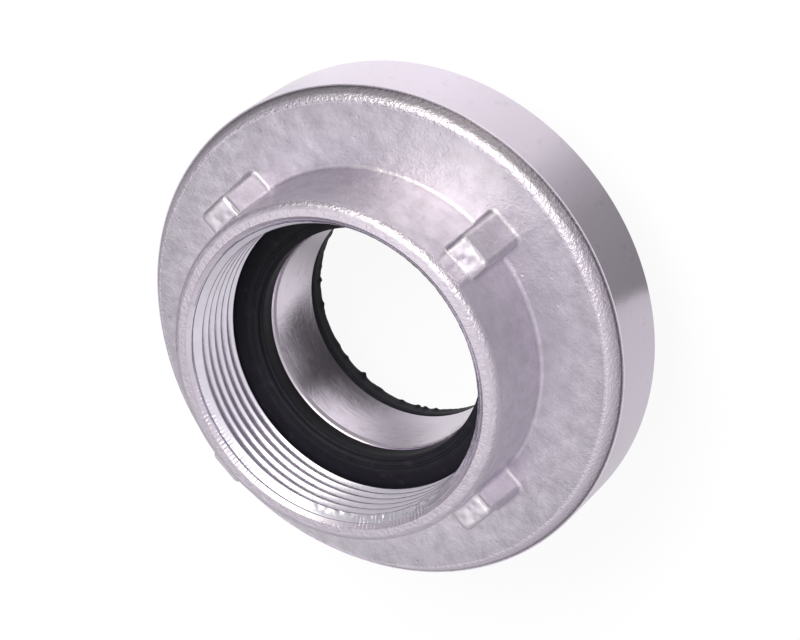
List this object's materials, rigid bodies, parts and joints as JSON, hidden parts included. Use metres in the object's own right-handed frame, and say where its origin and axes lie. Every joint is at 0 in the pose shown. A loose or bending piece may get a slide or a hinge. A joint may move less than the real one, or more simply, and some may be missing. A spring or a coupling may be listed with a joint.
{
  "type": "quarter turn fire hose coupling",
  "caption": "Cast aluminium hose coupling half: two hooked claws with ramped lip and rubber seal in front, ribbed boss with female pipe thread and gasket behind.",
  "frame": {"origin": "on the waterway's axis, in the plane of the claw ends", "axes": "+Z along the waterway from the claws to the threaded boss, +X through the middle of a claw, +Y through the spanner rib a quarter turn on"},
  "size_m": [0.098, 0.098, 0.0504],
  "materials": {
    "cast_aluminium": "forged and cast grey skin, turned bright on the rim, boss face, thread and bore",
    "black_rubber": "matt moulded rubber with a little dust"
  },
  "bodies": {
    "root": {"coupling_body": "cast_aluminium", "thread_gasket": "black_rubber", "front_seal": "black_rubber"}
  },
  "joints": []
}
